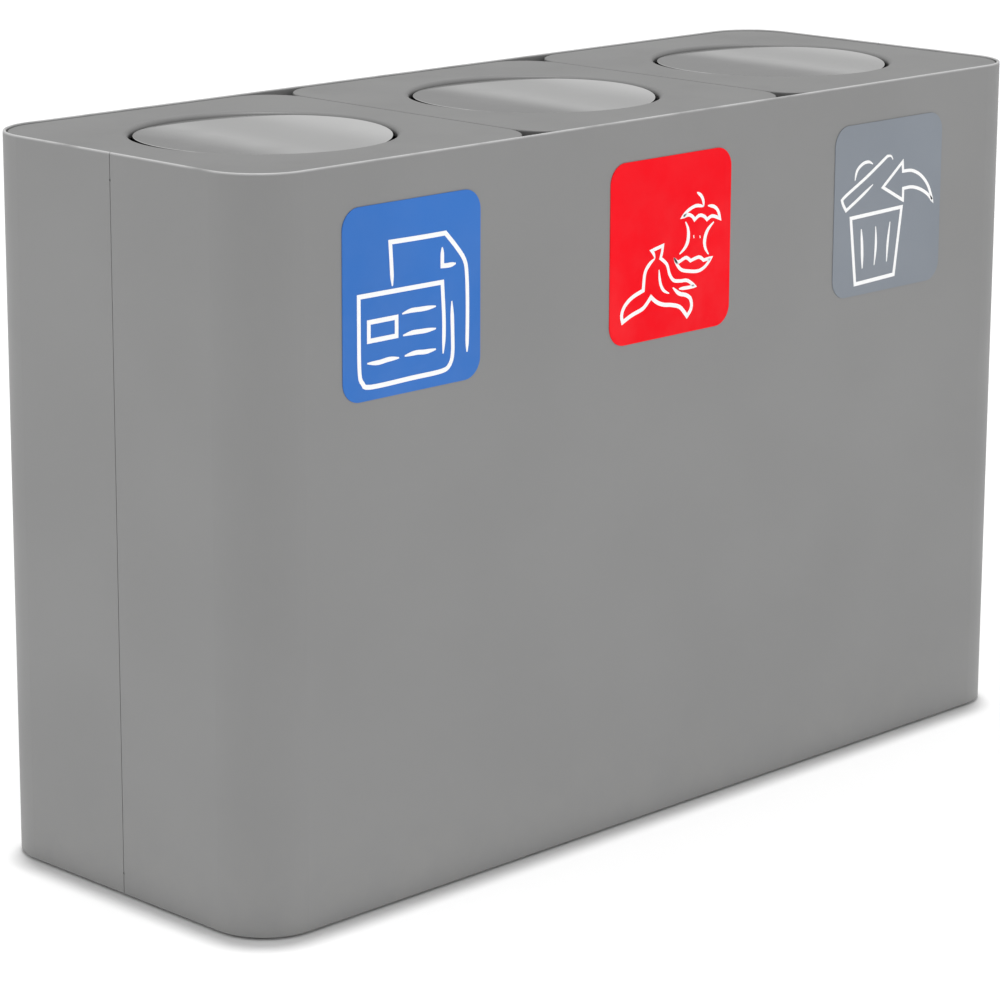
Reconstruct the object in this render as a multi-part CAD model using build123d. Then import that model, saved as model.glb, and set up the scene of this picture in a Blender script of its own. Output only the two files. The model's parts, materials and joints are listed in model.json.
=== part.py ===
from build123d import *
import os

# Three-compartment waste-sorting bin: one sheet-steel casing, three lift-out liners,
# three lids, and a swing flap in the round mouth of each lid.
# Millimetres. +X along the casing, the labelled front faces -Y, floor at z = 0,
# origin under the middle of the casing.

os.makedirs("parts", exist_ok=True)

# Overall sizes
casing_length = 1080.0
casing_depth = 384.0
casing_height = 700.0
corner_radius = 58.0

# Casing sheet and its folded edges
casing_sheet = 1.2
hem_slit = 0.6
hem_return = 25.0
floor_gap = 3.0
flange_width = 20.0
seam_gap = 0.8
relief_radius = 1.1

# Seam straps behind the two butt seams
strap_sheet = 1.5
strap_width = 44.0
strap_end_margin = 10.0
strap_stud_rows = 5

# Fasteners
stud_radius = 2.5
stud_hole_radius = 2.75
stud_proud = 1.0
nut_across_flats = 8.0
nut_height = 4.0

# Cross ties between the compartments
tie_width = 9.0
tie_height = 30.0
tie_sheet = 1.5
tie_tab_width = 40.0
tie_drop = 60.0
tie_stud_spacing = 24.0

# Base pan, rivets and glides
pan_sheet = 1.5
pan_clearance = 0.3
pan_top = 24.0
pan_return = 15.0
rivet_radius = 2.0
rivet_head_radius = 4.0
rivet_head_height = 1.0
rivet_bulb_height = 2.5
rivets_per_side = 5
glide_radius = 20.0
glide_height = 8.0
glide_stud_radius = 4.0
glide_stud_top = 20.0
glide_end_inset = 90.0
glide_side_inset = 75.0
insert_radius = 5.5
insert_flange_radius = 8.0
insert_flange = 0.8
insert_depth = 12.0
thread_clearance = 0.05

# Runners and guides that the liners stand on and between
runner_width = 12.0
runner_height = 4.0
runner_glide_offset = 27.0
runner_end_inset = 60.0
guide_width = 8.0
guide_height = 20.0
guide_end_gap = 9.0

# Liners
liner_gap = 13.8
liner_wall_clearance = 9.8
liner_sheet = 1.0
liner_corner_margin = 9.0
rim_overhang = 3.0
rim_height = 6.0
rest_gap = 0.3
bottom_recess = 8.0
hand_hole_length = 100.0
hand_hole_height = 32.0
hand_hole_drop = 62.0
grip_border = 6.0
grip_proud = 1.5

# Lids
lid_recess = 1.5
lid_side_gap = 1.0
lid_joint_gap = 1.5
lid_sheet = 1.2
lid_skirt = 25.0
lid_edge_radius = 1.6
lid_joint_radius = 48.0
mouth_radius = 124.0
lip_radius = 5.0
lip_depth = 8.0
buffer_height = 2.0
buffer_length = 30.0

# Flap, its axle and its bearings
flap_clearance = 4.0
flap_recess = 1.0
flap_dish = 2.5
flap_sheet = 1.2
axle_radius = 4.0
axle_below_lip = 2.0
bearing_clearance = 0.05
bracket_sheet = 2.0
bracket_width = 28.0
bracket_foot = 20.0
bracket_margin = 0.5
bracket_wall = 4.95
bush_wall = 2.0
bush_flange = 1.5
bush_flange_margin = 2.95
bush_tail = 2.0
clip_gap = 0.5
clip_thickness = 1.0
clip_margin = 3.0
axle_end = 2.5
saddle_length = 20.0
saddle_width = 24.0
saddle_spacing = 150.0
saddle_floor = 3.0
weight_length = 130.0
weight_width = 18.0
weight_height = 18.0
weight_drop = 30.0
weight_lug = 8.0
weight_lug_spacing = 100.0

# Label plates
label_width = 171.0
label_height = 176.0
label_thickness = 0.8
label_corner = 20.0
label_drop = 128.0
label_places = {"paper": -352.0, "organic": -8.0, "general": 321.0}

# Sizes that follow from the ones above
hem_thickness = 2 * casing_sheet + hem_slit
crown_height = hem_thickness / 2
pan_seat = floor_gap + casing_sheet
inner_depth = casing_depth - 2 * casing_sheet
lid_length = (casing_length - 2 * hem_thickness - 2 * lid_side_gap - 2 * lid_joint_gap) / 3
lid_depth = casing_depth - 2 * hem_thickness - 2 * lid_side_gap
lid_outer_radius = corner_radius - hem_thickness - lid_side_gap
lid_pitch = lid_length + lid_joint_gap
lid_top = casing_height - lid_recess
lid_under = lid_top - lid_sheet
rim_top = lid_under - buffer_height - rest_gap
liner_base = pan_top + runner_height + rest_gap
liner_length = lid_pitch - liner_gap
liner_depth = inner_depth - 2 * liner_wall_clearance
liner_corner_radius = max(lid_outer_radius, lid_joint_radius) - liner_corner_margin
flap_radius = mouth_radius - flap_clearance
flap_edge = lid_top - flap_recess
flap_bow = (flap_radius ** 2 + flap_dish ** 2) / (2 * flap_dish)
bow_centre = flap_edge - flap_dish + flap_bow
axle_height = lid_top - lip_depth - axle_below_lip - axle_radius
collar_outer = mouth_radius + lid_sheet
ear_inner = mouth_radius + lip_radius + bracket_margin
ear_outer = ear_inner + bracket_sheet
bush_bore = axle_radius + bearing_clearance
bush_outer = bush_bore + bush_wall
bush_outer_end = ear_outer + bush_tail
axle_half = bush_outer_end + clip_gap + clip_thickness + axle_end
tie_top = casing_height - tie_drop
label_middle = casing_height - label_drop
glide_x = casing_length / 2 - glide_end_inset
glide_y = casing_depth / 2 - glide_side_inset
glide_places = [(x, y) for x in (-glide_x, 0, glide_x) for y in (-glide_y, glide_y)]
runner_y = glide_y - runner_glide_offset
guide_length = 2 * (runner_y - runner_width / 2 - guide_end_gap)
pan_length = casing_length - 2 * casing_sheet - 2 * pan_clearance
pan_depth = inner_depth - 2 * pan_clearance
pan_corner = corner_radius - casing_sheet - pan_clearance
rivet_pitch = (casing_length - 4 * corner_radius) / (rivets_per_side - 1)
rivet_y = (pan_depth - pan_return) / 2
rivet_places = [((i - (rivets_per_side - 1) / 2) * rivet_pitch, side * rivet_y)
                for i in range(rivets_per_side) for side in (-1, 1)]

compartments = {"left": -lid_pitch, "middle": 0.0, "right": lid_pitch}


def save(shape, name):
    shape.label = name
    export_step(shape, f"parts/{name}.step")


def group(solids):
    """Separate identical solids kept together as one part."""
    return Compound(children=[solid for solid in solids])


def block(length, depth, radius, base, top):
    """Upright block with rounded corners, from base to top."""
    return Pos(0, 0, base) * extrude(RectangleRounded(length, depth, radius), top - base)


def band(length, depth, radius, thickness, base, top):
    """Upright closed wall, measured over its outside."""
    outside = block(length, depth, radius, base, top)
    inside = block(length - 2 * thickness, depth - 2 * thickness, radius - thickness, base - 1, top + 1)
    return outside - inside


def rod(radius, length, middle, axis):
    """Cylinder of the given length about the middle point, along X, Y or Z."""
    turns = {"X": (0, 90, 0), "Y": (90, 0, 0), "Z": (0, 0, 0)}
    return Pos(*middle) * Rot(*turns[axis]) * Cylinder(radius, length)


def bar(length, depth, low, high, x=0.0, y=0.0):
    """Square-edged bar from the height low to the height high."""
    return Pos(x, y, (low + high) / 2) * Box(length, depth, high - low)


# ---- Casing -----------------------------------------------------------------------

def casing():
    """Whole casing before it is parted: wall, hemmed top edge and bottom flange."""
    fold = casing_sheet + hem_slit
    shoulder = casing_height - crown_height
    wall = band(casing_length, casing_depth, corner_radius, casing_sheet, floor_gap, shoulder)
    inner = band(casing_length - 2 * fold, casing_depth - 2 * fold, corner_radius - fold,
                 casing_sheet, casing_height - hem_return, shoulder)
    crown = band(casing_length, casing_depth, corner_radius, hem_thickness, shoulder, casing_height)
    crown = fillet(crown.edges().group_by(Axis.Z)[-1], 0.96 * crown_height)
    flange = band(casing_length, casing_depth, corner_radius, casing_sheet + flange_width,
                  floor_gap, pan_seat)
    body = wall + inner + crown + flange
    for height in (casing_height - hem_return, floor_gap + flange_width):
        body -= rod(relief_radius, 2 * casing_length, (0, 0, height), "X")
    for x, y in rivet_places:
        body -= rod(rivet_radius, 4 * casing_sheet, (x, y, floor_gap), "Z")
    return body


def half_casing(body, side):
    """Front (side -1) or rear (side +1) half, parted at the butt seams."""
    keep = Pos(0, side * (casing_depth + seam_gap) / 2, casing_height / 2)
    return body & (keep * Box(2 * casing_length, casing_depth, 2 * casing_height))


whole_casing = casing()
save(half_casing(whole_casing, -1), "casing_front_shell")
save(half_casing(whole_casing, 1), "casing_rear_shell")


# ---- Studs and nuts ----------------------------------------------------------------

def stud_group(places, axis, direction, length):
    """Welded studs: places are points on the sheet, direction points away from it."""
    step = {"X": (1, 0, 0), "Y": (0, 1, 0)}[axis]
    studs = []
    for x, y, z in places:
        shift = direction(x, y) * length / 2
        studs.append(rod(stud_radius, length, (x + step[0] * shift, y + step[1] * shift, z), axis))
    return group(studs)


def nut_group(places, axis, direction, seat):
    """Hexagon nuts on those studs, bearing on a sheet that is seat thick."""
    nuts = []
    for x, y, z in places:
        shift = direction(x, y) * (seat + nut_height / 2)
        if axis == "X":
            turn = Pos(x + shift, y, z) * Rot(0, 90, 0)
        else:
            turn = Pos(x, y + shift, z) * Rot(90, 0, 0)
        flat = RegularPolygon(nut_across_flats / 2, 6, major_radius=False) - Circle(stud_radius)
        nuts.append(turn * extrude(flat, nut_height / 2, both=True))
    return group(nuts)


def inward_x(x, y):
    return -1 if x > 0 else 1


def inward_y(x, y):
    return -1 if y > 0 else 1


strap_low = pan_top + strap_end_margin
strap_high = lid_under - lid_skirt - strap_end_margin
strap_columns = (-strap_width / 4, strap_width / 4)
wall_face = casing_length / 2 - casing_sheet
strap_places = []
for end in (-1, 1):
    strap = bar(strap_sheet, strap_width, strap_low, strap_high, end * (wall_face - strap_sheet / 2))
    for row in range(strap_stud_rows):
        height = strap_low + (row + 0.5) * (strap_high - strap_low) / strap_stud_rows
        for column in strap_columns:
            strap_places.append((end * wall_face, column, height))
            strap -= rod(stud_hole_radius, 8 * strap_sheet, (end * wall_face, column, height), "X")
    save(strap, "seam_strap_left" if end < 0 else "seam_strap_right")

stud_length = strap_sheet + nut_height + stud_proud
save(stud_group(strap_places, "X", inward_x, stud_length), "strap_studs")
save(nut_group(strap_places, "X", inward_x, strap_sheet), "strap_nuts")


# ---- Cross ties --------------------------------------------------------------------

def cross_tie(x):
    """Channel that holds the front and rear walls together, with a tab at each end."""
    span = inner_depth - 2 * tie_sheet
    tie = bar(tie_width, span, tie_top - tie_height, tie_top, x)
    tie -= bar(tie_width - 2 * tie_sheet, span, tie_top - tie_height - 1, tie_top - tie_sheet, x)
    for side in (-1, 1):
        y = side * (inner_depth - tie_sheet) / 2
        tab = bar(tie_tab_width, tie_sheet, tie_top - tie_height, tie_top, x, y)
        for place in (-tie_stud_spacing / 2, tie_stud_spacing / 2):
            tab -= rod(stud_hole_radius, 4 * tie_sheet, (x + place, y, tie_top - tie_height / 2), "Y")
        tie += tab
    return tie


tie_places = []
for name, x in (("left", -lid_pitch / 2), ("right", lid_pitch / 2)):
    save(cross_tie(x), f"cross_tie_{name}")
    for side in (-1, 1):
        for place in (-tie_stud_spacing / 2, tie_stud_spacing / 2):
            tie_places.append((x + place, side * inner_depth / 2, tie_top - tie_height / 2))

save(stud_group(tie_places, "Y", inward_y, stud_length), "tie_studs")
save(nut_group(tie_places, "Y", inward_y, tie_sheet), "tie_nuts")


# ---- Base --------------------------------------------------------------------------

def base_pan():
    """Downturned tray whose inward return rests on the casing's bottom flange."""
    pan = block(pan_length, pan_depth, pan_corner, pan_top - pan_sheet, pan_top)
    pan += band(pan_length, pan_depth, pan_corner, pan_sheet, pan_seat, pan_top - pan_sheet)
    pan += band(pan_length, pan_depth, pan_corner, pan_return, pan_seat, pan_seat + pan_sheet)
    for x, y in glide_places:
        pan -= rod(insert_radius, 4 * pan_sheet, (x, y, pan_top), "Z")
    for x, y in rivet_places:
        pan -= rod(rivet_radius, 4 * pan_sheet, (x, y, pan_seat), "Z")
    return pan


save(base_pan(), "base_pan")

rivets = []
for x, y in rivet_places:
    grip_top = pan_seat + pan_sheet
    shank = rod(rivet_radius, grip_top - floor_gap, (x, y, (grip_top + floor_gap) / 2), "Z")
    head = rod(rivet_head_radius, rivet_head_height, (x, y, floor_gap - rivet_head_height / 2), "Z")
    bulb = rod(1.5 * rivet_radius, rivet_bulb_height, (x, y, grip_top + rivet_bulb_height / 2), "Z")
    rivets.append(shank + head + bulb)
save(group(rivets), "base_rivets")

glides = []
inserts = []
for x, y in glide_places:
    foot = rod(glide_radius, glide_height, (x, y, glide_height / 2), "Z")
    foot = fillet(foot.edges().group_by(Axis.Z)[-1], glide_height / 3)
    foot = chamfer(foot.edges().group_by(Axis.Z)[0], glide_height / 8)
    stem = rod(glide_stud_radius, glide_stud_top - glide_height / 2,
               (x, y, (glide_stud_top + glide_height / 2) / 2), "Z")
    glides.append(foot + stem)
    insert_low = pan_top - insert_depth
    sleeve = rod(insert_radius, insert_depth, (x, y, pan_top - insert_depth / 2), "Z")
    sleeve += rod(insert_flange_radius, insert_flange, (x, y, pan_top + insert_flange / 2), "Z")
    sleeve -= rod(glide_stud_radius + thread_clearance, 3 * insert_depth, (x, y, insert_low), "Z")
    inserts.append(sleeve)
save(group(glides), "floor_glides")
save(group(inserts), "glide_inserts")

runner_length = casing_length - 2 * runner_end_inset
save(group([bar(runner_length, runner_width, pan_top, pan_top + runner_height, 0, side * runner_y)
            for side in (-1, 1)]), "liner_runners")

guides = []
for side in (-1, 1):
    guide = bar(guide_width, guide_length, pan_top, pan_top + guide_height, side * lid_pitch / 2)
    guide = fillet(guide.edges().filter_by(Axis.Y).group_by(Axis.Z)[-1], guide_width / 3)
    guide -= bar(guide_width - 2 * casing_sheet, 2 * guide_length, pan_top - 1,
                 pan_top + guide_height - 2 * casing_sheet, side * lid_pitch / 2)
    guides.append(guide)
save(group(guides), "liner_guides")


# ---- Label plates ------------------------------------------------------------------

for name, x in label_places.items():
    plate = extrude(RectangleRounded(label_width, label_height, label_corner), label_thickness)
    save(Pos(x, -casing_depth / 2, label_middle) * Rot(90, 0, 0) * plate, f"label_{name}")


# ---- Liners ------------------------------------------------------------------------

hand_hole_middle = rim_top - hand_hole_drop


def hand_hole(extra, depth):
    """Oval block through a front or rear wall, larger than the hole by extra all round."""
    oval = SlotOverall(hand_hole_length + 2 * extra, hand_hole_height + 2 * extra)
    return Rot(90, 0, 0) * extrude(oval, depth / 2, both=True)


def liner_wrap():
    """Folded wall of a liner with its rolled rim and two hand holes."""
    wrap = band(liner_length, liner_depth, liner_corner_radius, liner_sheet, liner_base, rim_top)
    rim = band(liner_length + 2 * rim_overhang, liner_depth + 2 * rim_overhang,
               liner_corner_radius + rim_overhang, liner_sheet + rim_overhang,
               rim_top - rim_height, rim_top)
    outline = rim.edges().filter_by(Plane.XY)
    rim = fillet(outline, 0.45 * (liner_sheet + rim_overhang))
    wrap += rim
    for side in (-1, 1):
        place = Pos(0, side * liner_depth / 2, hand_hole_middle)
        wrap -= place * hand_hole(0, 20 * liner_sheet)
    return wrap


def liner_bottom():
    """Pressed bottom with a downturned edge, set up inside the wall."""
    length = liner_length - 2 * liner_sheet
    depth = liner_depth - 2 * liner_sheet
    radius = liner_corner_radius - liner_sheet
    floor = liner_base + bottom_recess
    plate = block(length, depth, radius, floor - liner_sheet, floor)
    return plate + band(length, depth, radius, liner_sheet, liner_base, floor - liner_sheet)


def liner_grips():
    """Moulded edging that lines the two hand holes."""
    grips = []
    for side in (-1, 1):
        middle = side * (liner_depth - liner_sheet) / 2
        edging = hand_hole(grip_border, liner_sheet + 2 * grip_proud)
        groove = hand_hole(grip_border + 1, liner_sheet) - hand_hole(0, 2 * liner_sheet)
        opening = hand_hole(-grip_proud, 20 * liner_sheet)
        grips.append(Pos(0, middle, hand_hole_middle) * (edging - groove - opening))
    return group(grips)


# ---- Lids --------------------------------------------------------------------------

def lid_outline(compartment, inset):
    """Plan of a lid: large corners beside the casing's ends, tighter ones at the joints."""
    plan = Rectangle(lid_length - 2 * inset, lid_depth - 2 * inset)
    ends = {"left": -1, "middle": 0, "right": 1}[compartment]
    half = lid_length / 2 - inset
    for side in (-1, 1):
        radius = lid_outer_radius if side == ends else lid_joint_radius
        corners = [v for v in plan.vertices() if abs(v.X - side * half) < 0.001]
        plan = fillet(corners, radius - inset)
    return plan


def mouth_collar():
    """Edge of the mouth, drawn down into a short round collar."""
    low = lid_top - lip_depth
    bend = lid_top - lip_radius
    tangent = mouth_radius + lip_radius
    middle = (tangent, bend)
    outer_arc = CenterArc(middle, lip_radius, 90, 90)
    inner_arc = CenterArc(middle, lip_radius - lid_sheet, 90, 90)
    lines = [outer_arc,
             Line((mouth_radius, bend), (mouth_radius, low)),
             Line((mouth_radius, low), (collar_outer, low)),
             Line((collar_outer, low), (collar_outer, bend)),
             inner_arc,
             Line((tangent, lid_under), (tangent, lid_top))]
    section = Plane.XZ * make_face(Curve() + lines)
    return revolve(section, Axis.Z)


def lid_plate(compartment):
    """Folded lid with its skirt and the drawn collar round the mouth."""
    skirt_low = lid_under - lid_skirt
    outside = Pos(0, 0, skirt_low) * extrude(lid_outline(compartment, 0), lid_top - skirt_low)
    outside = fillet(outside.edges().group_by(Axis.Z)[-1], lid_edge_radius)
    inside = Pos(0, 0, skirt_low - 1) * extrude(lid_outline(compartment, lid_sheet), lid_under - skirt_low + 1)
    lid = outside - inside
    lid -= rod(mouth_radius + lip_radius, 10 * lid_sheet, (0, 0, lid_top), "Z")
    return lid + mouth_collar()


def axle_brackets():
    """Two angle brackets under the lid, one at each end of the axle."""
    brackets = []
    foot_low = lid_under - bracket_sheet
    ear_low = axle_height - bush_outer - bracket_wall
    for side in (-1, 1):
        foot = bar(bracket_sheet + bracket_foot, bracket_width, foot_low, lid_under,
                   side * (ear_inner + (bracket_sheet + bracket_foot) / 2))
        ear = bar(bracket_sheet, bracket_width, ear_low, foot_low, side * (ear_inner + ear_outer) / 2)
        ear = fillet(ear.edges().filter_by(Axis.X).group_by(Axis.Z)[0], bracket_width / 3)
        hole = rod(bush_outer, 4 * bracket_sheet, (side * ear_inner, 0, axle_height), "X")
        brackets.append(foot + ear - hole)
    return group(brackets)


def axle_bushes():
    """Flanged bushes in the brackets, which the axle turns in."""
    bushes = []
    for side in (-1, 1):
        length = bush_outer_end - ear_inner
        sleeve = rod(bush_outer, length, (side * (ear_inner + length / 2), 0, axle_height), "X")
        sleeve += rod(bush_outer + bush_flange_margin, bush_flange,
                      (side * (ear_inner - bush_flange / 2), 0, axle_height), "X")
        sleeve -= rod(bush_bore, 8 * length, (side * ear_inner, 0, axle_height), "X")
        bushes.append(sleeve)
    return group(bushes)


def lid_buffers():
    """Four soft pads under the lid, over the front and rear of the liner's rim."""
    low = lid_under - buffer_height
    rim_y = (liner_depth + rim_overhang - liner_sheet) / 2
    return group([bar(buffer_length, rim_overhang + liner_sheet, low, lid_under, x, y)
                  for x in (-liner_length / 4, liner_length / 4) for y in (-rim_y, rim_y)])


# ---- Swing flaps -------------------------------------------------------------------

def flap_disc():
    """Round flap cut from sheet that is bowed down between the ends of the axle, with a softened edge."""
    reach = 4 * flap_radius
    sheet = rod(flap_bow + flap_sheet, reach, (0, 0, bow_centre), "Y")
    sheet -= rod(flap_bow, 2 * reach, (0, 0, bow_centre), "Y")
    disc = rod(flap_radius, 8 * flap_dish, (0, 0, flap_edge), "Z") & sheet
    rims = disc.edges().filter_by(lambda edge: abs(edge.center(CenterOf.BOUNDING_BOX).X) < flap_radius / 2)
    return fillet(rims, flap_sheet / 3)


def flap_saddles():
    """Two straps under the flap that carry it on the axle."""
    bow = rod(flap_bow + flap_sheet, 4 * saddle_width, (0, 0, bow_centre), "Y")
    saddles = []
    for side in (-1, 1):
        strap = bar(saddle_length, saddle_width, axle_height - axle_radius - saddle_floor,
                    flap_edge, side * saddle_spacing / 2)
        strap = fillet(strap.edges().filter_by(Axis.X).group_by(Axis.Z)[0], saddle_width / 4)
        strap -= rod(axle_radius, 4 * saddle_length, (side * saddle_spacing / 2, 0, axle_height), "X")
        saddles.append(strap - bow)
    return group(saddles)


def flap_axle():
    axle = rod(axle_radius, 2 * axle_half, (0, 0, axle_height), "X")
    ends = [edge for edge in axle.edges() if edge.geom_type == GeomType.CIRCLE]
    return chamfer(ends, axle_radius / 5)


def flap_counterweight():
    """Bar hung on two lugs below the axle, which swings the flap shut."""
    middle = axle_height - weight_drop
    weight = bar(weight_length, weight_width, middle - weight_height / 2, middle + weight_height / 2)
    weight = fillet(weight.edges().filter_by(Axis.X), weight_height / 6)
    for side in (-1, 1):
        lug = bar(weight_lug, weight_width, middle, axle_height, side * weight_lug_spacing / 2)
        lug += rod(weight_width / 2 - 1, weight_lug, (side * weight_lug_spacing / 2, 0, axle_height), "X")
        weight += lug
    return weight - rod(axle_radius, 2 * weight_length, (0, 0, axle_height), "X")


def axle_clips():
    """Retaining rings on the axle, outside the bushes."""
    clips = []
    for side in (-1, 1):
        x = side * (bush_outer_end + clip_gap + clip_thickness / 2)
        ring = rod(axle_radius + clip_margin, clip_thickness, (x, 0, axle_height), "X")
        ring -= rod(axle_radius, 4 * clip_thickness, (x, 0, axle_height), "X")
        clips.append(ring)
    return group(clips)


# ---- The three compartments ----------------------------------------------------------

shared = {"liner_wrap": liner_wrap(), "liner_bottom": liner_bottom(), "liner_grips": liner_grips(),
          "axle_brackets": axle_brackets(), "axle_bushes": axle_bushes(), "lid_buffers": lid_buffers(),
          "flap_disc": flap_disc(), "flap_saddles": flap_saddles(), "flap_axle": flap_axle(),
          "flap_counterweight": flap_counterweight(), "axle_clips": axle_clips()}

for compartment, x in compartments.items():
    save(Pos(x, 0, 0) * lid_plate(compartment), f"lid_plate_{compartment}")
    for name, shape in shared.items():
        save(Pos(x, 0, 0) * shape, f"{name}_{compartment}")
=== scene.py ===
# %% [markdown]
# # A three-way waste-sorting bin
# The bin is sheet steel: a powder-coated casing, three lids with round mouths, a satin
# steel flap in each mouth, and three printed label plates. Every shape that carries, holds
# or moves comes from the CAD model, which is loaded here as a fixed frame. This lesson adds
# the finishes and the printed pictograms, then a plain studio to see them in.

# %% Load the frame
import json
import math

import bmesh
import bpy
from mathutils import Matrix, Vector


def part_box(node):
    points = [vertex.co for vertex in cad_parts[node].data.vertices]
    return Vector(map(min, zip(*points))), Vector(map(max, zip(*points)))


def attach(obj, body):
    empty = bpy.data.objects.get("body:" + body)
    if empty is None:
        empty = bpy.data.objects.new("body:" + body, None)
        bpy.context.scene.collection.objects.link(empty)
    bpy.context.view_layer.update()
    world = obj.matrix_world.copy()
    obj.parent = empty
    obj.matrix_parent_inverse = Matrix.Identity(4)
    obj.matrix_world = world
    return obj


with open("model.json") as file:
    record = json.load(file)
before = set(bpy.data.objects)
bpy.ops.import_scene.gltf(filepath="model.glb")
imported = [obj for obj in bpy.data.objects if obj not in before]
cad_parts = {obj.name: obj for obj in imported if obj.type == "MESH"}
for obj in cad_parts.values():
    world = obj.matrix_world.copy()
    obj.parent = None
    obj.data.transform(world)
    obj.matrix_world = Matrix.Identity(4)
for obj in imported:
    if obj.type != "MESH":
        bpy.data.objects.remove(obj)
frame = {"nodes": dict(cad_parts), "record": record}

nodes = frame["nodes"]
for leftover in ("Cube", "Light", "Camera"):
    if leftover in bpy.data.objects:
        bpy.data.objects.remove(bpy.data.objects[leftover])
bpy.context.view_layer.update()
MM = 0.001

# %% [markdown]
# ## The camera
# A camera is a place, a direction and a lens. Setting the direction by compass angle, tilt
# and roll keeps each one readable. The lens is long, so the bin's edges stay almost
# parallel, and a small downward lens shift keeps its upright edges closer to upright.

# %% Camera
EYE = Vector((-2.593, -2.527, 1.225))
COMPASS = math.radians(45.224)
TILT_DOWN = math.radians(13.033)
ROLL = math.radians(0.228)
LENS_MM = 132.67
LENS_SHIFT = -0.1


def camera_axes(compass, tilt, roll):
    """Right, up and forward directions of a camera that looks down by tilt."""
    ahead = Vector((math.sin(compass), math.cos(compass), 0))
    forward = ahead * math.cos(tilt) - Vector((0, 0, math.sin(tilt)))
    level = Vector((math.cos(compass), -math.sin(compass), 0))
    upward = level.cross(forward)
    right = level * math.cos(roll) + upward * math.sin(roll)
    return right, upward * math.cos(roll) - level * math.sin(roll), forward


camera_data = bpy.data.cameras.new("camera")
camera_data.lens = LENS_MM
camera_data.shift_y = LENS_SHIFT
camera = bpy.data.objects.new("camera", camera_data)
bpy.context.scene.collection.objects.link(camera)
right, up, forward = camera_axes(COMPASS, TILT_DOWN, ROLL)
camera.matrix_world = Matrix.Translation(EYE) @ Matrix((right, up, -forward)).transposed().to_4x4()
bpy.context.scene.camera = camera

# %% [markdown]
# ## Small tools for building materials
# A material is a graph of nodes. These helpers add a node, set its plain values and wire
# its inputs in one call, so that each finish below reads as a short list of steps.

# %% Node helpers

def feed(tree, socket, value):
    """Sets an input to a number or colour, or wires another node's output to it."""
    if isinstance(value, bpy.types.NodeSocket):
        tree.links.new(value, socket)
    else:
        socket.default_value = value


def add_node(tree, kind, settings=None, **inputs):
    """Adds a shader node. Its inputs are given by name, or as i0, i1 and so on by place."""
    node = tree.nodes.new(kind)
    for name, value in (settings or {}).items():
        setattr(node, name, value)
    for name, value in inputs.items():
        by_place = name[0] == "i" and name[1:].isdigit()
        feed(tree, node.inputs[int(name[1:]) if by_place else name.replace("_", " ")], value)
    return node


def maths(tree, operation, a, b=0.0, clamp=False):
    """One step of arithmetic on a value that changes over the surface."""
    step = {"operation": operation, "use_clamp": clamp}
    return add_node(tree, "ShaderNodeMath", step, i0=a, i1=b).outputs[0]


def ramp(tree, value, low, high, start=0.0, end=1.0):
    """Maps value from low..high onto start..end with a smooth shoulder."""
    smooth = {"interpolation_type": "SMOOTHSTEP"}
    node = add_node(tree, "ShaderNodeMapRange", smooth, i0=value, i1=low, i2=high, i3=start, i4=end)
    return node.outputs[0]


def mix_colour(tree, share, first, second):
    """Blends two colours by share."""
    return add_node(tree, "ShaderNodeMix", {"data_type": "RGBA"}, i0=share, i6=first, i7=second).outputs[2]


def grey(level):
    """A neutral colour."""
    return (level, level, level, 1.0)


def shade(tone, share):
    """A share of a colour, for the darker or lighter side of the same finish."""
    return tuple(share * channel for channel in tone[:3]) + (1.0,)


def noise(tree, place, scale, detail, roughness=0.5):
    """Soft random blotches of about 1 / scale metres, as a value around a half."""
    return add_node(tree, "ShaderNodeTexNoise", Vector=place, Scale=scale, Detail=detail,
                    Roughness=roughness).outputs[0]


def effect_group(name, inputs, outputs):
    """A new node group with named inputs and outputs, and its two end nodes."""
    tree = bpy.data.node_groups.new(name, "ShaderNodeTree")
    for label, kind, default in inputs:
        socket = tree.interface.new_socket(name=label, in_out="INPUT", socket_type=kind)
        socket.default_value = default
    for label, kind in outputs:
        tree.interface.new_socket(name=label, in_out="OUTPUT", socket_type=kind)
    return tree, tree.nodes.new("NodeGroupInput").outputs, tree.nodes.new("NodeGroupOutput").inputs


def object_point(tree):
    """A point on the piece in the bin's own frame, which rides along when the piece moves."""
    return tree.nodes.new("ShaderNodeTexCoord").outputs["Object"]


def height_of(tree):
    """Height of that point above the floor."""
    return add_node(tree, "ShaderNodeSeparateXYZ", i0=object_point(tree)).outputs["Z"]


# %% [markdown]
# ## Effects that several finishes share
# Powder coat is sprayed as dry powder and baked, and it cures with a faint pebbled skin
# that makers call orange peel. It could be modelled, but it is a few hundredths of a
# millimetre deep, so a bump texture is the right size of tool. It is a group because the
# casing and the lids both have it, at the same scale but with different strength.

# %% Orange peel group
FLOAT = "NodeSocketFloat"
GRAIN_PER_PEBBLE = 2.7
SHEEN_SCALE = 7.0
peel, given, result = effect_group(
    "orange_peel",
    [("Pebble size", FLOAT, 0.0016), ("Fineness", FLOAT, 0.35)],
    [("Height", FLOAT), ("Sheen mask", FLOAT)])
scale = maths(peel, "DIVIDE", 1.0, given["Pebble size"])
pebbles = noise(peel, object_point(peel), scale, detail=0.0)
grain = noise(peel, object_point(peel), maths(peel, "MULTIPLY", scale, GRAIN_PER_PEBBLE), detail=1.0)
fine_part = maths(peel, "MULTIPLY", grain, given["Fineness"])
peel.links.new(maths(peel, "ADD", pebbles, fine_part), result["Height"])
peel.links.new(noise(peel, object_point(peel), SHEEN_SCALE, detail=1.0), result["Sheen mask"])
print("group", peel.name, "with", len(peel.nodes), "nodes")

# %% [markdown]
# Dust gathers where a cloth doesn't reach: low on the walls and on flat tops. The group
# gives a mask that fades between two heights and is broken up by noise, and each finish
# decides what its dust does to the colour and the gloss.

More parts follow.
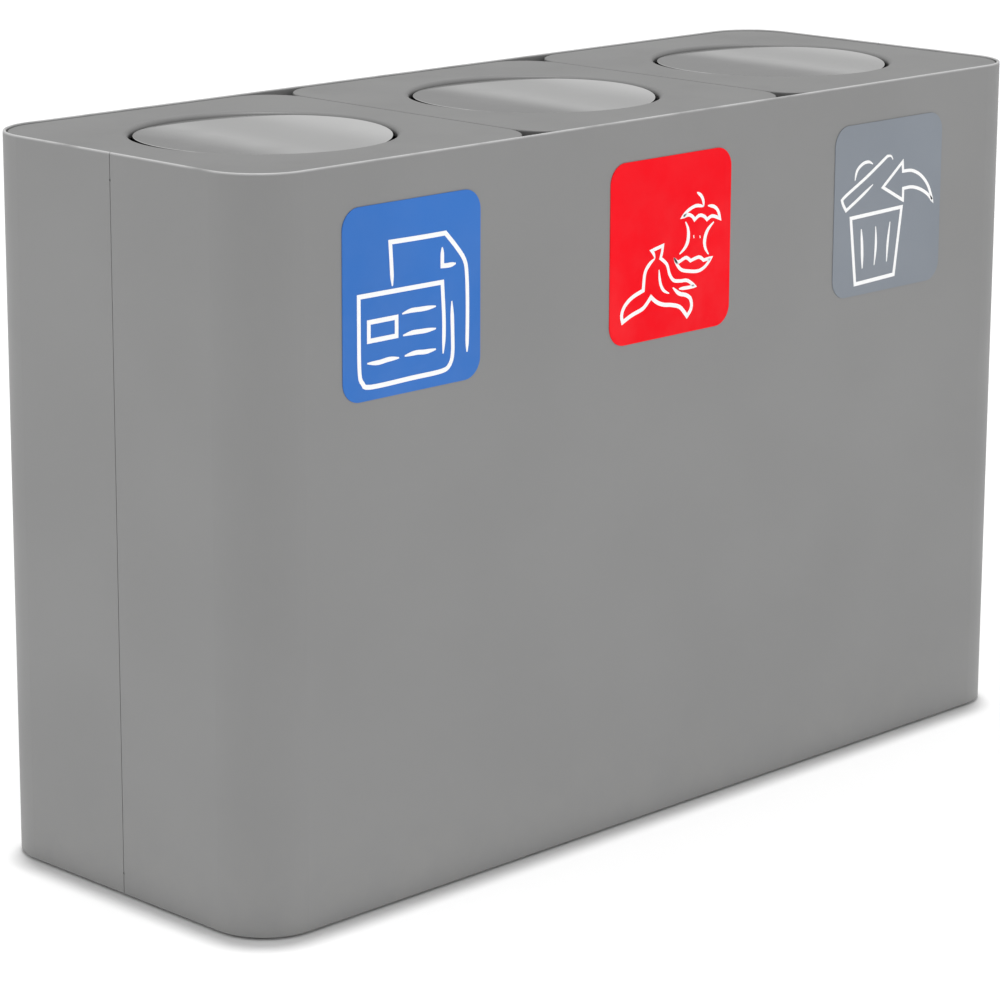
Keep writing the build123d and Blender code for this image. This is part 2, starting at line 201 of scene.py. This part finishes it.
# %% Dust group
dust, given, result = effect_group(
    "settled_dust",
    [("Clean above", FLOAT, 0.12), ("Full below", FLOAT, 0.0), ("Patch size", FLOAT, 0.03),
     ("Amount", FLOAT, 0.3)],
    [("Mask", FLOAT)])
fade = ramp(dust, height_of(dust), given["Clean above"], given["Full below"])
scale = maths(dust, "DIVIDE", 1.0, given["Patch size"])
patches = noise(dust, object_point(dust), scale, detail=5.0, roughness=0.6)
broken = maths(dust, "MULTIPLY", fade, ramp(dust, patches, 0.3, 0.75))
dust.links.new(maths(dust, "MULTIPLY", broken, given["Amount"], clamp=True), result["Mask"])
print("group", dust.name, "with", len(dust.nodes), "nodes")

# %% [markdown]
# Hands, bags and liners rub the top edge of the casing and the rims of the mouths. This group
# picks the highest couple of millimetres of a piece, and slow noise varies it along the edge.
# Its lighter colour is partly real rubbing and partly a painted highlight along the rounded hem.

# %% Edge rub and painted highlight group
wear_and_highlight, given, result = effect_group(
    "rubbed_edge_and_highlight",
    [("Edge height", FLOAT, 0.7), ("Width", FLOAT, 0.002), ("Patch size", FLOAT, 0.02),
     ("Amount", FLOAT, 0.5)],
    [("Mask", FLOAT)])
below = maths(wear_and_highlight, "SUBTRACT", given["Edge height"], height_of(wear_and_highlight))
near = maths(wear_and_highlight, "SUBTRACT", 1.0, maths(wear_and_highlight, "DIVIDE", below, given["Width"]), clamp=True)
scale = maths(wear_and_highlight, "DIVIDE", 1.0, given["Patch size"])
rubs = noise(wear_and_highlight, object_point(wear_and_highlight), scale, detail=4.0)
picked = maths(wear_and_highlight, "MULTIPLY", near, ramp(wear_and_highlight, rubs, 0.15, 0.55))
wear_and_highlight.links.new(maths(wear_and_highlight, "MULTIPLY", picked, given["Amount"], clamp=True), result["Mask"])
print("group", wear_and_highlight.name, "with", len(wear_and_highlight.nodes), "nodes")

# %% [markdown]
# Rolled and brushed metal has fine lines all one way. Stretching a noise texture is the
# classic way to draw them: it is squeezed across the lines and left long along them. The
# group gives a height for the bump and a mask that varies the gloss.

# %% Brushed line group
CLOUD_SCALE = 18.0
brushed, given, result = effect_group(
    "brushed_lines",
    [("Across X", FLOAT, 1600.0), ("Across Y", FLOAT, 12.0), ("Across Z", FLOAT, 1600.0)],
    [("Height", FLOAT), ("Streak mask", FLOAT)])
stretch = add_node(brushed, "ShaderNodeCombineXYZ", i0=given["Across X"], i1=given["Across Y"],
                   i2=given["Across Z"])
stretched = add_node(brushed, "ShaderNodeVectorMath", {"operation": "MULTIPLY"}, i0=object_point(brushed),
                     i1=stretch.outputs[0])
lines = noise(brushed, stretched.outputs[0], 1.0, detail=4.0, roughness=0.6)
clouds = noise(brushed, object_point(brushed), CLOUD_SCALE, detail=2.0)
brushed.links.new(lines, result["Height"])
brushed.links.new(maths(brushed, "MULTIPLY", lines, clouds), result["Streak mask"])
print("group", brushed.name, "with", len(brushed.nodes), "nodes")

# %% [markdown]
# ## A finish is a Principled shader with one or two effects
# Each finish below starts from the same empty shell. Numbers that are the same all over
# the surface go straight on the shader's own sockets, and only what varies is wired in.

# %% Material shell


def new_finish(name, roughness, metallic=0.0, specular=0.5):
    """A material with its Principled shader, ready for a finish to be wired in."""
    material = bpy.data.materials.new(name)
    material.use_nodes = True
    tree = material.node_tree
    shader = tree.nodes["Principled BSDF"]
    shader.inputs["Roughness"].default_value = roughness
    shader.inputs["Metallic"].default_value = metallic
    shader.inputs["Specular IOR Level"].default_value = specular
    return material, tree, shader


def place_group(tree, group, **values):
    """Puts an effect group into a material with this finish's own values."""
    node = tree.nodes.new("ShaderNodeGroup")
    node.node_tree = group
    for name, value in values.items():
        node.inputs[name.replace("_", " ")].default_value = value
    return node.outputs


def emboss(tree, shader, height, depth, strength=1.0):
    """Bumps the surface by a height texture that is depth metres deep."""
    bump = add_node(tree, "ShaderNodeBump", Height=height, Distance=depth, Strength=strength)
    tree.links.new(bump.outputs[0], shader.inputs["Normal"])


# %% [markdown]
# ### Powder coat
# The casing and the lids are sprayed in one neutral mid grey; the lids carry a darker grey as painted shade,
# to offset the stronger light on their tops. The coat is nearly matt, so most of what shows is even colour,
# with a slow drift from the spray gun's passes, a film of dust near the floor, and a light line along the hem
# that is partly rubbing and partly a painted highlight.

# %% Powder coat
COAT_GREY = (0.25, 0.25, 0.249, 1.0)
# The lids' grey is darker than the casing's as painted shade: the same paint, darkened to offset the stronger
# light on their tops.
LID_GREY_WITH_PAINTED_SHADE = (0.172, 0.172, 0.171, 1.0)
COAT_DUST = (0.36, 0.35, 0.33, 1.0)
# The light grey along the hem stands partly for rubbing and partly for a painted highlight.
RUBBED_COAT_AND_HIGHLIGHT = grey(0.55)
SPRAY_PASS = 3.5


def powder_coat(name, tone, edge_height, rub_and_highlight_amount, dust_top, dust_floor, dust_amount, peel_depth):
    """Baked powder coat with a pebbled skin, drifting tone, a film of dust, and a top edge lightened partly
    by rubbing and partly by a painted highlight.
    """
    material, tree, shader = new_finish(name, roughness=0.5, specular=0.3)
    skin = place_group(tree, peel, Pebble_size=1.6 * MM, Fineness=0.35)
    film = place_group(tree, dust, Clean_above=dust_top, Full_below=dust_floor, Patch_size=35 * MM,
                       Amount=dust_amount)
    rubbed_and_highlight = place_group(tree, wear_and_highlight, Edge_height=edge_height, Width=2.2 * MM, Patch_size=45 * MM,
                         Amount=rub_and_highlight_amount)
    drift = ramp(tree, noise(tree, object_point(tree), SPRAY_PASS, detail=3.0), 0.3, 0.7)
    sprayed = mix_colour(tree, drift, tone, shade(tone, 0.965))
    dusty = mix_colour(tree, film["Mask"], sprayed, COAT_DUST)
    # Mixes in the light hem colour: partly rubbing, partly a painted highlight.
    worn_and_highlit = mix_colour(tree, rubbed_and_highlight["Mask"], dusty, RUBBED_COAT_AND_HIGHLIGHT)
    tree.links.new(worn_and_highlit, shader.inputs["Base Color"])
    gloss = ramp(tree, skin["Sheen mask"], 0.3, 0.7, 0.46, 0.54)
    gloss = maths(tree, "ADD", gloss, maths(tree, "MULTIPLY", film["Mask"], 0.25))
    gloss = maths(tree, "SUBTRACT", gloss, maths(tree, "MULTIPLY", rubbed_and_highlight["Mask"], 0.15))
    tree.links.new(gloss, shader.inputs["Roughness"])
    emboss(tree, shader, skin["Height"], peel_depth)
    return material


casing_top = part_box("casing_front_shell")[1].z
lid_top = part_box("lid_plate_left")[1].z
# The casing's strong hem amount is mostly a painted highlight, with some rubbing.
casing_coat = powder_coat("casing_powder_coat", COAT_GREY, casing_top, rub_and_highlight_amount=0.75, dust_top=0.14,
                          dust_floor=0.0, dust_amount=0.12, peel_depth=0.02 * MM)
# The lids get the darker grey, which is painted shade.
lid_coat_with_painted_shade = powder_coat("lid_powder_coat_with_painted_shade", LID_GREY_WITH_PAINTED_SHADE, lid_top, rub_and_highlight_amount=0.03, dust_top=lid_top + 0.4,
                       dust_floor=lid_top - 0.4, dust_amount=0.05, peel_depth=0.01 * MM)
print("powder coats made; lid sits", round((casing_top - lid_top) / MM, 1), "mm below the hem")

# %% [markdown]
# ### Satin stainless steel
# The flaps are lighter and glossier than the coat: fine satin stainless sheet, smooth enough
# to mirror broad bands of light softly. The axles are duller drawn bar. Both are fully
# metallic, and faint lines along the grain vary their gloss.

# %% Satin steel


def satin_steel(name, tone, smoothest, roughest, line_depth):
    """Grained steel whose roughness varies along its lines between two values."""
    material, tree, shader = new_finish(name, roughness=smoothest, metallic=1.0)
    lines = place_group(tree, brushed, Across_X=900.0, Across_Y=14.0, Across_Z=900.0)
    streaks = lines["Streak mask"]
    tree.links.new(mix_colour(tree, streaks, tone, shade(tone, 0.9)), shader.inputs["Base Color"])
    tree.links.new(ramp(tree, streaks, 0.1, 0.45, smoothest, roughest), shader.inputs["Roughness"])
    emboss(tree, shader, lines["Height"], line_depth)
    return material


FLAP_TONE = (0.72, 0.72, 0.715, 1.0)
AXLE_TONE = (0.6, 0.6, 0.59, 1.0)
flap_steel = satin_steel("satin_flap_steel", FLAP_TONE, smoothest=0.05, roughest=0.09,
                         line_depth=0.0005 * MM)
axle_steel = satin_steel("drawn_axle_steel", AXLE_TONE, smoothest=0.22, roughest=0.34,
                         line_depth=0.004 * MM)
print("steels:", flap_steel.name, "and", axle_steel.name)

# %% [markdown]
# ### Galvanised sheet
# The liners, the base pan and the ties are left as galvanised steel, which crystallises
# into a patchwork of grains called spangle. Voronoi cells are just such a patchwork: each
# cell gets its own brightness and its own gloss.

# %% Galvanised sheet
LINER_DUST = (0.3, 0.29, 0.27, 1.0)


def galvanised(name, tone, cell, dust_top, dust_floor):
    """Zinc-coated sheet with a spangle of the given cell size and dust towards its foot."""
    material, tree, shader = new_finish(name, roughness=0.45, metallic=0.85)
    cells = add_node(tree, "ShaderNodeTexVoronoi", Vector=object_point(tree), Scale=1.0 / cell)
    cell_tone = add_node(tree, "ShaderNodeSeparateColor", i0=cells.outputs["Color"])
    film = place_group(tree, dust, Clean_above=dust_top, Full_below=dust_floor, Patch_size=30 * MM,
                       Amount=0.5)
    spangle = mix_colour(tree, cell_tone.outputs[0], tone, shade(tone, 0.78))
    tree.links.new(mix_colour(tree, film["Mask"], spangle, LINER_DUST), shader.inputs["Base Color"])
    gloss = maths(tree, "ADD", ramp(tree, cell_tone.outputs[1], 0.0, 1.0, 0.36, 0.52),
                  maths(tree, "MULTIPLY", film["Mask"], 0.3))
    tree.links.new(gloss, shader.inputs["Roughness"])
    emboss(tree, shader, cell_tone.outputs[2], 0.015 * MM)
    return material


LINER_TONE = (0.62, 0.63, 0.64, 1.0)
FRAME_TONE = (0.5, 0.51, 0.52, 1.0)
liner_sheet = galvanised("galvanised_liner", LINER_TONE, cell=9 * MM, dust_top=0.2, dust_floor=0.03)
frame_sheet = galvanised("galvanised_frame", FRAME_TONE, cell=7 * MM, dust_top=0.1, dust_floor=0.0)
print("galvanised sheets:", liner_sheet.name, "and", frame_sheet.name)

# %% [markdown]
# ### Moulded plastic, rubber and plated fasteners
# The small parts share one recipe: a base colour, a gloss that wanders a little, and a
# fine moulded or plated grain. Only their numbers differ, so one function makes them all.

# %% Small-part finishes
GLOSS_SPREAD = 0.06


def small_part(name, tone, roughness, metallic=0.0, grain=0.8 * MM, depth=0.01 * MM):
    """A moulded or plated finish with a fine grain and a gloss that wanders around roughness."""
    material, tree, shader = new_finish(name, roughness, metallic)
    skin = place_group(tree, peel, Pebble_size=grain, Fineness=0.6)
    sheen = skin["Sheen mask"]
    tree.links.new(mix_colour(tree, sheen, tone, shade(tone, 0.82)), shader.inputs["Base Color"])
    gloss = ramp(tree, sheen, 0.3, 0.7, roughness - GLOSS_SPREAD, roughness + GLOSS_SPREAD)
    tree.links.new(gloss, shader.inputs["Roughness"])
    emboss(tree, shader, skin["Height"], depth)
    return material


black_plastic = small_part("black_moulding", (0.028, 0.028, 0.03, 1.0), roughness=0.5)
nylon = small_part("natural_nylon", (0.78, 0.76, 0.7, 1.0), roughness=0.42)
rubber = small_part("buffer_rubber", grey(0.035), roughness=0.75)
zinc = small_part("zinc_plate", (0.62, 0.62, 0.58, 1.0), roughness=0.34, metallic=1.0, grain=0.5 * MM,
                  depth=0.005 * MM)
print("small parts:", [finish.name for finish in (black_plastic, nylon, rubber, zinc)])

# %% [markdown]
# ### Label plates and their ink
# Each plate is a thin panel with its colour screen-printed edge to edge. Ink is not quite
# even, so the colour drifts by a percent or two and the gloss follows the grain of the
# plate underneath. The white ink is a separate coat with its own slight thickness.

# %% Label finishes
BLUE = (0.048, 0.182, 0.56, 1.0)
RED = (0.95, 0.003, 0.012, 1.0)
SLATE = (0.25, 0.275, 0.31, 1.0)
LABEL_DUST = grey(0.5)
SCREEN_WEAVE = 900.0


def label_plate(name, tone):
    """A plate whose colour is printed edge to edge, with a fine grain and a trace of dust."""
    material, tree, shader = new_finish(name, roughness=0.6, specular=0.06)
    skin = place_group(tree, peel, Pebble_size=1.1 * MM, Fineness=0.8)
    printed = mix_colour(tree, ramp(tree, skin["Sheen mask"], 0.25, 0.75), tone, shade(tone, 0.95))
    film = place_group(tree, dust, Clean_above=0.9, Full_below=0.3, Patch_size=50 * MM, Amount=0.05)
    tree.links.new(mix_colour(tree, film["Mask"], printed, LABEL_DUST), shader.inputs["Base Color"])
    tree.links.new(ramp(tree, skin["Height"], 0.2, 0.9, 0.56, 0.64), shader.inputs["Roughness"])
    emboss(tree, shader, skin["Height"], 0.006 * MM)
    return material


def screen_ink(name, tone):
    """Thick ink that keeps the weave of the screen it was pressed through."""
    material, tree, shader = new_finish(name, roughness=0.5, specular=0.3)
    weave = noise(tree, object_point(tree), SCREEN_WEAVE, detail=2.0)
    tree.links.new(mix_colour(tree, weave, tone, shade(tone, 0.96)), shader.inputs["Base Color"])
    tree.links.new(ramp(tree, weave, 0.3, 0.7, 0.44, 0.56), shader.inputs["Roughness"])
    emboss(tree, shader, weave, 0.008 * MM)
    return material


blue_label = label_plate("blue_label", BLUE)
red_label = label_plate("red_label", RED)
slate_label = label_plate("slate_label", SLATE)
white_ink = screen_ink("white_ink", grey(0.97))
print("labels:", blue_label.name, red_label.name, slate_label.name, "with", white_ink.name)

# %% [markdown]
# ## Dress the CAD parts
# The record names a material slot for each node. A dictionary from slot to finish dresses
# the whole frame in one loop, and a node with no finish would stop the script here. The
# axles share the flaps' slot, but they are bar and not sheet, so they get their own steel.

# %% Assign finishes
finish_of_slot = {
    "casing_paint": casing_coat, "lid_paint": lid_coat_with_painted_shade, "galvanised": frame_sheet, "liner_steel": liner_sheet,
    "stainless": flap_steel, "zinc": zinc, "black_plastic": black_plastic, "white_nylon": nylon,
    "buffer_rubber": rubber, "label_blue": blue_label, "label_red": red_label, "label_grey": slate_label}
for part in frame["record"]["subparts"]:
    mesh = nodes[part["node"]].data
    mesh.materials.clear()
    mesh.materials.append(finish_of_slot[part["material_slot"]])
for compartment in ("left", "middle", "right"):
    nodes[f"flap_axle_{compartment}"].data.materials[0] = axle_steel

# %% [markdown]
# ## The pictograms
# Each label has a line drawing in white ink that looks brushed by hand: lines swell in the
# middle and thin out at the ends. Each stroke is a smooth path through a few points,
# widened into a flat ribbon. It is real geometry, a tenth of a millimetre thick as screen
# ink is, so it keeps a crisp edge from any distance and rides along with the casing.

# %% Stroke tools
INK_THICKNESS = 0.12 * MM
STEPS_PER_SPAN = 8
SPACING_PER_WIDTH = 0.55
THINNEST = 0.3
LONGEST_MITRE = 1.8
SAME_PLACE = 1e-9


def smooth_path(points, spacing):
    """Points, at least spacing apart, along a curve through the given ones.

    A point that is given twice is a sharp corner.
    """
    ends = [points[0]] + list(points) + [points[-1]]
    path, corners = [Vector(points[0])], [0]
    for before, start, stop, after in zip(ends, ends[1:], ends[2:], ends[3:]):
        if (stop - start).length < SAME_PLACE:
            while len(path) - 1 > corners[-1] and (path[-1] - stop).length < spacing:
                path.pop()
            if (path[-1] - stop).length > SAME_PLACE:
                path.append(Vector(stop))
            corners.append(len(path) - 1)
            continue
        for step in range(1, STEPS_PER_SPAN + 1):
            t = step / STEPS_PER_SPAN
            point = 0.5 * (2 * start + (stop - before) * t
                           + (2 * before - 5 * start + 4 * stop - after) * t ** 2
                           + (3 * start - before - 3 * stop + after) * t ** 3)
            if (point - path[-1]).length >= spacing:
                path.append(point)
    while len(path) - 1 > corners[-1] and (path[-1] - points[-1]).length < spacing:
        path.pop()
    path.append(Vector(points[-1]))
    return path


def pen_width(share, width, taper):
    """Width of the line at a share of its length: full in the middle, thinner at tapered ends."""
    swell = min(1.0, share / taper, (1 - share) / taper) if taper else 1.0
    return width * (THINNEST + (1 - THINNEST) * math.sin(0.5 * math.pi * max(0.0, swell)))


def heading(start, stop, otherwise):
    """Direction from one point to the next, or the other direction where they coincide."""
    return (stop - start).normalized() if (stop - start).length > SAME_PLACE else otherwise


def ribbon(mesh, path, width, taper, closed):
    """Adds a flat ribbon along the path to the mesh, mitred at its corners and closed all round."""
    count = len(path)
    lengths = [0.0]
    for start, stop in zip(path, path[1:]):
        lengths.append(lengths[-1] + (stop - start).length)
    rows = []
    for i, point in enumerate(path):
        behind = path[i - 1] if (i or closed) else path[0]
        ahead = path[(i + 1) % count] if (i < count - 1 or closed) else path[-1]
        arriving = heading(behind, point, (ahead - point).normalized())
        leaving = heading(point, ahead, arriving)
        tangent = (arriving + leaving).normalized()
        side = Vector((-tangent.y, tangent.x))
        half = 0.5 * pen_width(lengths[i] / lengths[-1], width, taper)
        outer = min(LONGEST_MITRE, 1 / max(0.4, arriving.dot(tangent)))
        inner = min(outer, 1.05 / max(0.1, abs(arriving.cross(tangent))))
        left, right = (inner, outer) if arriving.cross(leaving) > 0 else (outer, inner)
        corners = (point + side * half * left, point - side * half * right)
        rows.append([mesh.verts.new((c.x, c.y, level)) for level in (0.0, INK_THICKNESS) for c in corners])
    pairs = list(zip(rows, rows[1:])) + ([(rows[-1], rows[0])] if closed else [])
    for a, b in pairs:
        for i, j in ((0, 1), (3, 2), (2, 0), (1, 3)):
            mesh.faces.new((a[i], a[j], b[j], b[i]))
    if not closed:
        for end in (rows[0], rows[-1]):
            mesh.faces.new((end[0], end[1], end[3], end[2]))


def draw_print(name, plate, strokes):
    """Makes a label's print from its strokes, which are in millimetres from the plate's middle."""
    low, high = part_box(plate)
    mesh = bmesh.new()
    for shape, width, taper, closed, *points in strokes:
        flat = [Vector(p) * MM for p in points]
        path = flat if shape == "lines" else smooth_path(flat, SPACING_PER_WIDTH * width * MM)
        if closed and (path[0] - path[-1]).length < SAME_PLACE:
            path.pop()
        ribbon(mesh, path, width * MM, taper, closed)
    bmesh.ops.recalc_face_normals(mesh, faces=mesh.faces)
    data = bpy.data.meshes.new(name)
    mesh.to_mesh(data)
    mesh.free()
    data.materials.append(white_ink)
    middle = (low + high) / 2
    data.transform(Matrix.Translation((middle.x, low.y, middle.z)) @ Matrix.Rotation(math.pi / 2, 4, "X"))
    piece = bpy.data.objects.new(name, data)
    bpy.context.scene.collection.objects.link(piece)
    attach(piece, "casing")
    print(name, "strokes:", len(strokes), "faces:", len(data.polygons))


# %% [markdown]
# ### Paper: a news sheet in front of a page with a folded corner
# Two outlines that overlap would tangle, so the page behind stops short of the sheet in
# front and starts again on its other side, which is how a sign painter does it.

# %% Paper print
LINE = 4.4
paper_strokes = [
    ("curve", LINE, 0.04, False, (38, -59), (39, -45), (39, -25), (37, 7), (37, 7), (-66, 7.5), (-66, 7.5),
     (-66, -20), (-65.5, -60), (-62, -71), (-52, -76), (0, -75.5), (36, -75), (46, -71), (50, -61), (50, -40),
     (49, -12)),
    ("curve", LINE, 0.05, False, (-25, 12), (-26, 30), (-27.5, 52), (-27.5, 52), (10, 51.5), (41, 51.5),
     (41, 51.5), (54, 38), (65, 24), (68, 10), (69, -20), (68.5, -62)),
    ("curve", LINE, 0.2, False, (37, 39), (37, 30), (37, 22), (37, 22), (45, 21.5), (54, 22)),
    ("lines", LINE, 0, True, (-54, -17), (-20, -17), (-20, -34), (-54, -34)),
    ("curve", LINE, 0.35, False, (-13, -15), (-2, -13.5), (12, -14), (29, -14)),
    ("curve", LINE, 0.35, False, (-12, -35), (0, -34), (14, -34.5), (29, -34.5)),
    ("curve", LINE, 0.35, False, (-56, -54), (-42, -55), (-30, -54), (-17, -54.5)),
    ("curve", LINE, 0.35, False, (-10, -54), (4, -53), (16, -54), (29, -53.5))]
draw_print("print_paper", "label_paper", paper_strokes)

# %% [markdown]
# ### Organic: an apple core above a banana skin
# Bitten edges are short scallops, and a skin is two outer leaves with a fold between them.

# %% Organic print
FINE = 3.4
BOLD = FINE + 1
organic_strokes = [
    ("curve", FINE, 0.3, False, (36, 48), (42, 44), (45, 39), (46, 33)),
    ("curve", FINE, 0.06, False, (46, 33), (35, 35), (24, 32), (15, 26), (15, 26), (24, 27.5), (30, 25),
     (33, 21.5), (33, 21.5), (40, 25), (47, 23), (51, 19.5), (51, 19.5), (57, 22), (63, 21), (70, 18),
     (70, 18), (67, 26), (61, 31), (52, 33)),
    ("curve", BOLD, 0.5, False, (20, 21), (24, 13), (24, 3), (20, -4), (12, -9.5)),
    ("curve", BOLD, 0.5, False, (61, 16), (52, 9), (48, 0), (49, -8), (54, -15)),
    ("curve", FINE, 0.05, False, (4, -12), (10, -17), (21, -14), (28, -18), (28, -18), (40, -16), (47, -20),
     (47, -20), (58, -19), (58, -19), (50, -26), (40, -29.5), (26, -28), (13, -24), (4, -12)),
    ("curve", FINE, 0.4, False, (32, 6.5), (32.5, 3.5)),
    ("curve", FINE, 0.4, False, (41, 5), (41.5, 2.5)),
    ("curve", FINE, 0.05, False, (-23, -9), (-25, -4), (-28, -1), (-28, -1), (-12, 2), (-12, 2), (-13, -4),
     (-15, -10), (-15, -10), (-6, -17), (-2, -27), (4, -34), (14, -36), (24, -37), (35, -44), (35, -44),
     (24, -44), (12, -43.5)),
    ("curve", FINE + 0.6, 0.05, False, (-23, -9), (-31, -14), (-37, -22), (-39, -38), (-39, -38), (-55, -43),
     (-65, -50), (-69, -58), (-67.5, -65), (-67.5, -65), (-55, -60), (-40, -56), (-33, -51), (-28, -46),
     (-28, -46), (-20, -52), (-10, -56), (2, -58), (14, -62), (24, -72), (24, -72), (30, -65), (29, -56),
     (22, -51), (12, -48), (3, -41)),
    ("curve", FINE, 0.4, False, (-17, -21), (-15, -34), (-10, -42), (-2, -46))]
draw_print("print_organic", "label_organic", organic_strokes)

# %% [markdown]
# ### General waste: a bin, its lid lifted, and an arrow
# The bin is a tapering box with three ribs. The lid floats above it at a slant, and the
# arrow curls in from the right and points to the gap between them.

# %% General waste print
general_strokes = [
    ("lines", FINE + 0.6, 0, True, (-59, -7), (22, -5), (12, -74), (-50, -76)),
    ("curve", FINE + 0.6, 0.4, False, (-42, -20), (-40, -40), (-39, -61)),
    ("curve", FINE, 0.5, False, (-19, -20), (-18, -40), (-20, -60)),
    ("curve", FINE, 0.5, False, (4, -18), (1, -40), (0, -59)),
    ("curve", FINE, 0.12, False, (6, 46), (3, 50), (-3, 50.5), (-3, 50.5), (-35, 33), (-70, 16), (-73, 11),
     (-67, 2), (-67, 2), (-45, 13), (-25, 24)),
    ("curve", FINE, 0.3, False, (-54, 31), (-51, 41), (-42, 47), (-33, 48), (-26, 45)),
    ("curve", FINE, 0, True, (-9, 19), (-9, 19), (22, 42), (22, 42), (23, 32), (23, 32), (38, 31), (53, 24),
     (65, 12), (73, -5), (73, -5), (65, 3), (52, 10), (38, 14), (24, 14), (24, 14), (24, 2), (24, 2),
     (-9, 19))]
draw_print("print_general", "label_general", general_strokes)

# %% [markdown]
# ## The studio
# A catalogue studio is a white room, so the world itself is most of the light. Its
# brightness changes with direction in a few broad steps. In front of the bin it is bright
# near the horizon and dimmer overhead, and dimmer again behind the camera, which gives the
# round corner a soft darker band. Behind the bin hangs a cyclorama whose tone rises with
# height in soft steps, and the satin flaps, which are slightly bowed, mirror the steps.
# Reflections see less of the front light than the surfaces do, as if through a scrim, so
# that the flaps keep their tone from every side.

# %% World light
BEHIND_CAMERA = (-0.71, -0.704, 0.0)
MIRRORED_SHARE = 0.72
CYCLORAMA_TONES = ((0.0, 0.34), (0.124, 0.34), (0.140, 0.60), (0.154, 0.50), (0.176, 0.50),
                   (0.195, 0.68), (0.35, 0.72), (0.6, 0.60))


def build_world():
    """White to the camera, and a room of soft light to everything else."""
    world = bpy.data.worlds.new("studio_world")
    bpy.context.scene.world = world
    world.use_nodes = True
    tree = world.node_tree
    tree.nodes.clear()
    direction = tree.nodes.new("ShaderNodeTexCoord").outputs["Generated"]
    height = add_node(tree, "ShaderNodeSeparateXYZ", i0=direction).outputs["Z"]
    towards_camera = add_node(tree, "ShaderNodeVectorMath", {"operation": "DOT_PRODUCT"}, i0=direction,
                              i1=BEHIND_CAMERA).outputs["Value"]
    front = maths(tree, "MULTIPLY", ramp(tree, height, 0.15, 0.95, 1.31, 0.57),
                  ramp(tree, towards_camera, 0.75, 1.0, 1.0, 0.45))
    ray = tree.nodes.new("ShaderNodeLightPath").outputs
    front = maths(tree, "MULTIPLY", front, ramp(tree, ray["Is Glossy Ray"], 0.0, 1.0, 1.0, MIRRORED_SHARE))
    bands = tree.nodes.new("ShaderNodeValToRGB")
    tree.links.new(height, bands.inputs[0])
    stops = bands.color_ramp.elements
    while len(stops) < len(CYCLORAMA_TONES):
        stops.new(0.5)
    for stop, (place, tone) in zip(stops, CYCLORAMA_TONES):
        stop.position, stop.color = place, grey(tone)
    at_back = ramp(tree, towards_camera, -0.25, -0.65)
    tone = mix_colour(tree, at_back, front, bands.outputs[0])
    light = add_node(tree, "ShaderNodeBackground", Color=tone, Strength=1.0).outputs[0]
    backdrop = add_node(tree, "ShaderNodeBackground", Color=grey(1.0), Strength=1.0).outputs[0]
    choose = add_node(tree, "ShaderNodeMixShader", i0=ray["Is Camera Ray"], i1=light, i2=backdrop)
    add_node(tree, "ShaderNodeOutputWorld", Surface=choose.outputs[0])


build_world()
bpy.context.scene.view_settings.view_transform = "Standard"
print("world:", bpy.context.scene.world.name, "with", len(CYCLORAMA_TONES), "tones on the cyclorama")

# %% [markdown]
# ## The floor
# A big pale sheet, level with the underside of the glides.

# %% Floor
floor_mesh = bpy.data.meshes.new("floor")
REACH = 8.0
corners = [(-REACH, -REACH, 0), (REACH, -REACH, 0), (REACH, REACH, 0), (-REACH, REACH, 0)]
floor_mesh.from_pydata(corners, [], [(0, 1, 2, 3)])
floor = bpy.data.objects.new("floor", floor_mesh)
bpy.context.scene.collection.objects.link(floor)
floor_paper, _, shader = new_finish("floor_paper", roughness=0.9, specular=0.1)
shader.inputs["Base Color"].default_value = grey(0.81)
floor_mesh.materials.append(floor_paper)
print("floor spans", 2 * REACH, "m")

# %% [markdown]
# ## A key light from the ceiling
# The world alone would light every surface alike and leave the bin floating. One lamp
# almost straight overhead, a little behind the bin, whitens the floor, draws a thin
# highlight along the hem and drops a narrow dark shadow at the foot of the front.

# %% Key light
KEY_DIRECTION = Vector((-0.024, -0.024, -1.0))
key_data = bpy.data.lights.new("key_light", "SUN")
key_data.energy = 2.2
key_data.angle = math.radians(2.2)
key_light = bpy.data.objects.new("key_light", key_data)
bpy.context.scene.collection.objects.link(key_light)
key_light.rotation_mode = "QUATERNION"
key_light.rotation_quaternion = KEY_DIRECTION.to_track_quat("-Z", "Y")
key_light.visible_camera = False
lean = KEY_DIRECTION.angle(Vector((0, 0, -1)))
print("key light leans", round(math.degrees(lean), 1), "degrees")
